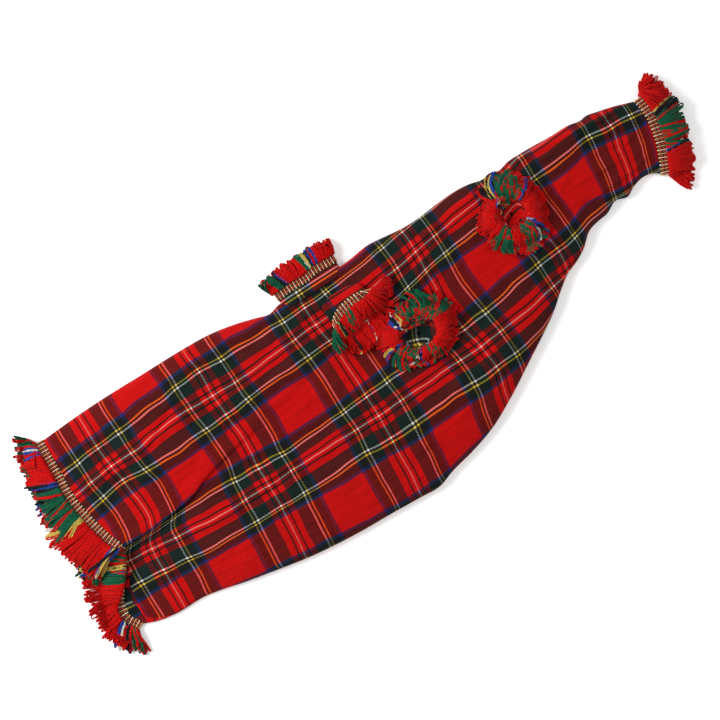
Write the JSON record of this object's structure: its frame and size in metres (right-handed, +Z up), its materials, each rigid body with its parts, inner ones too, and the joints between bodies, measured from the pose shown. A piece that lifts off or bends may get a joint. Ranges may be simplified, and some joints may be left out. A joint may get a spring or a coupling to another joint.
{
  "type": "bagpipe bag cover",
  "caption": "Laid-flat cloth cover for a bagpipe's wind bag, with a fringed rear mouth, a neck mouth, three drone sleeves and a blowpipe sleeve.",
  "frame": {"origin": "centre of the box round the laid cover, on the surface it lies on", "axes": "+X along the cover from the rear mouth to the neck, +Y toward the edge with the outer drone sleeve, +Z up"},
  "size_m": [0.7761, 0.2824, 0.0363],
  "materials": {
    "tartan": "woven wool twill in a red check",
    "braid": "woven ladder braid, cream and yellow rungs on red and black",
    "wool_red": "looped wool yarn",
    "wool_green": "looped wool yarn, green mixed with red",
    "wool_accent": "looped wool yarn in narrow blue, black, yellow and white blocks"
  },
  "bodies": {
    "cover": {"front_panel": "tartan", "back_panel": "tartan", "upper_rear_seam": "tartan", "upper_front_seam": "tartan", "lower_seam": "tartan", "rear_hem": "tartan", "neck_hem": "tartan", "rear_braid": "braid", "neck_braid": "braid", "rear_fringe_red": "wool_red", "rear_fringe_green": "wool_green", "rear_fringe_accent": "wool_accent", "neck_fringe_red": "wool_red", "neck_fringe_green": "wool_green", "neck_fringe_accent": "wool_accent", "middle_drone_seam": "tartan", "inner_drone_seam": "tartan", "blowpipe_seam": "tartan"},
    "outer_drone": {"outer_drone_sleeve": "tartan", "outer_drone_braid": "braid", "outer_drone_fringe_red": "wool_red", "outer_drone_fringe_green": "wool_green", "outer_drone_fringe_accent": "wool_accent"},
    "middle_drone": {"middle_drone_sleeve": "tartan", "middle_drone_braid": "braid", "middle_drone_fringe_red": "wool_red", "middle_drone_fringe_green": "wool_green", "middle_drone_fringe_accent": "wool_accent"},
    "inner_drone": {"inner_drone_sleeve": "tartan", "inner_drone_braid": "braid", "inner_drone_fringe_red": "wool_red", "inner_drone_fringe_green": "wool_green", "inner_drone_fringe_accent": "wool_accent"},
    "blowpipe": {"blowpipe_sleeve": "tartan", "blowpipe_braid": "braid", "blowpipe_fringe_red": "wool_red", "blowpipe_fringe_green": "wool_green", "blowpipe_fringe_accent": "wool_accent"}
  },
  "joints": [
    {"name": "outer_drone_lift", "type": "hinge", "parent": "cover", "child": "outer_drone", "pos_m": [-0.021, 0.0993, 0.0111], "axis": [1, 0, 0], "range_deg": [0, 90]},
    {"name": "middle_drone_lift", "type": "hinge", "parent": "cover", "child": "middle_drone", "pos_m": [-0.003, 0.078, 0.0223], "axis": [-1, 0, 0], "range_deg": [0, 90]},
    {"name": "inner_drone_draw", "type": "slide", "parent": "cover", "child": "inner_drone", "axis": [0, 0, 1], "range_m": [0, 0.022]},
    {"name": "blowpipe_draw", "type": "slide", "parent": "cover", "child": "blowpipe", "axis": [0, 0, 1], "range_m": [0, 0.022]}
  ]
}
